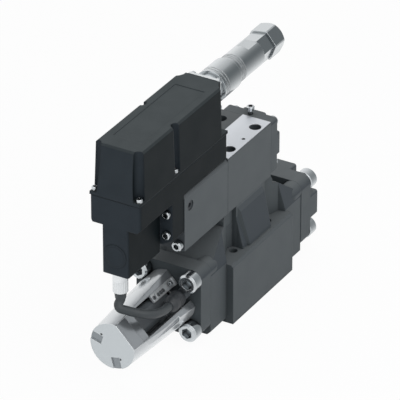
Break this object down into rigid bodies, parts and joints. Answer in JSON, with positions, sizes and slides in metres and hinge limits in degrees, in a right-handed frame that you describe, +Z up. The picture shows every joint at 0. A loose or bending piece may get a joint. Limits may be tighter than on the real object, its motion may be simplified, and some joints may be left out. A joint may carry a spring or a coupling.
{
  "type": "proportional directional valve",
  "caption": "Pilot operated proportional directional valve with on-board electronics, a spool position sensor and a round cable plug, for a subplate.",
  "frame": {"origin": "centre of the four mounting holes, on the mounting face", "axes": "+Z up from the mounting face, +X along the main spool away from the position sensor, -Y towards the side with the sensor's window"},
  "size_m": [0.2725, 0.07, 0.205],
  "materials": {
    "painted_casting": "satin paint over the casting",
    "black_enamel": "charcoal powder coat",
    "zinc_screws": "bright zinc",
    "ground_steel": "ground",
    "spring_steel": "drawn wire",
    "bright_aluminium": "bright cast and turned",
    "bare_plate": "fine brushed",
    "nickel_plug": "satin nickel",
    "magnet": "sintered",
    "copper": "enamelled wire",
    "black_plastic": "moulded",
    "cable_rubber": "smooth jacket",
    "seal_rubber": "matt",
    "circuit_board": "solder mask"
  },
  "bodies": {
    "valve": {"main_body": "painted_casting", "front_end_cap": "painted_casting", "rear_end_cap": "painted_casting", "front_cap_screws": "zinc_screws", "rear_cap_screws": "zinc_screws", "front_spring": "spring_steel", "rear_spring": "spring_steel", "front_cap_seal": "seal_rubber", "rear_cap_seal": "seal_rubber", "port_seals": "seal_rubber", "sensor_housing": "bright_aluminium", "sensor_tube": "ground_steel", "sensor_coil": "black_plastic", "sensor_bracket": "black_plastic", "sensor_bracket_screws": "zinc_screws", "sensor_socket": "black_plastic", "sensor_plug": "cable_rubber", "sensor_cable": "cable_rubber", "box_cable_plug": "cable_rubber", "box_sensor_socket": "nickel_plug", "pilot_body": "painted_casting", "pilot_sleeve": "ground_steel", "pilot_spring": "spring_steel", "pilot_rear_cover": "painted_casting", "pilot_cover_screws": "zinc_screws", "pilot_mounting_screws": "zinc_screws", "pilot_interface_seals": "seal_rubber", "top_plate": "bare_plate", "vent_screw": "zinc_screws", "actuator_housing": "painted_casting", "magnet_ring": "magnet", "pole_core": "ground_steel", "pilot_sensor_coil": "black_plastic", "actuator_screws": "zinc_screws", "actuator_plug": "black_enamel", "box_base": "black_enamel", "box_cover": "black_enamel", "box_gasket": "seal_rubber", "circuit_board": "circuit_board", "cover_screws": "zinc_screws", "flange_screws": "zinc_screws", "front_plug": "black_enamel", "receptacle": "nickel_plug", "receptacle_pins": "copper", "receptacle_screws": "zinc_screws", "plug_shell": "nickel_plug", "plug_insert": "black_plastic", "gland_body": "nickel_plug", "gland_grommet": "seal_rubber"},
    "main_spool_set": {"main_spool": "ground_steel", "front_spring_seat": "ground_steel", "rear_spring_seat": "ground_steel", "sensor_core_rod": "ground_steel"},
    "pilot_spool_set": {"pilot_spool": "ground_steel", "coil_bobbin": "bright_aluminium", "coil_winding": "copper", "pilot_core_rod": "ground_steel"},
    "plug_ring": {"coupling_ring": "nickel_plug"},
    "gland_ring": {"gland_nut": "nickel_plug"},
    "cable_nut": {"box_plug_nut": "nickel_plug"}
  },
  "joints": [
    {"name": "main_spool_slide", "type": "slide", "parent": "valve", "child": "main_spool_set", "axis": [1, 0, 0], "range_m": [-0.004, 0.004], "stiffness_N_per_m": 3000, "deforming": ["front_spring", "rear_spring"]},
    {"name": "pilot_spool_slide", "type": "slide", "parent": "valve", "child": "pilot_spool_set", "axis": [1, 0, 0], "range_m": [-0.001, 0.001], "stiffness_N_per_m": 2000, "deforming": ["pilot_spring"]},
    {"name": "coupling_ring_turn", "type": "hinge", "parent": "valve", "child": "plug_ring", "pos_m": [-0.01, 0, 0.1907], "axis": [1, 0, 0], "continuous": true},
    {"name": "gland_nut_turn", "type": "hinge", "parent": "valve", "child": "gland_ring", "pos_m": [0.063, 0, 0.1907], "axis": [1, 0, 0], "continuous": true},
    {"name": "cable_nut_turn", "type": "hinge", "parent": "valve", "child": "cable_nut", "pos_m": [-0.16, 0, 0.087], "axis": [0, 0, 1], "continuous": true}
  ]
}
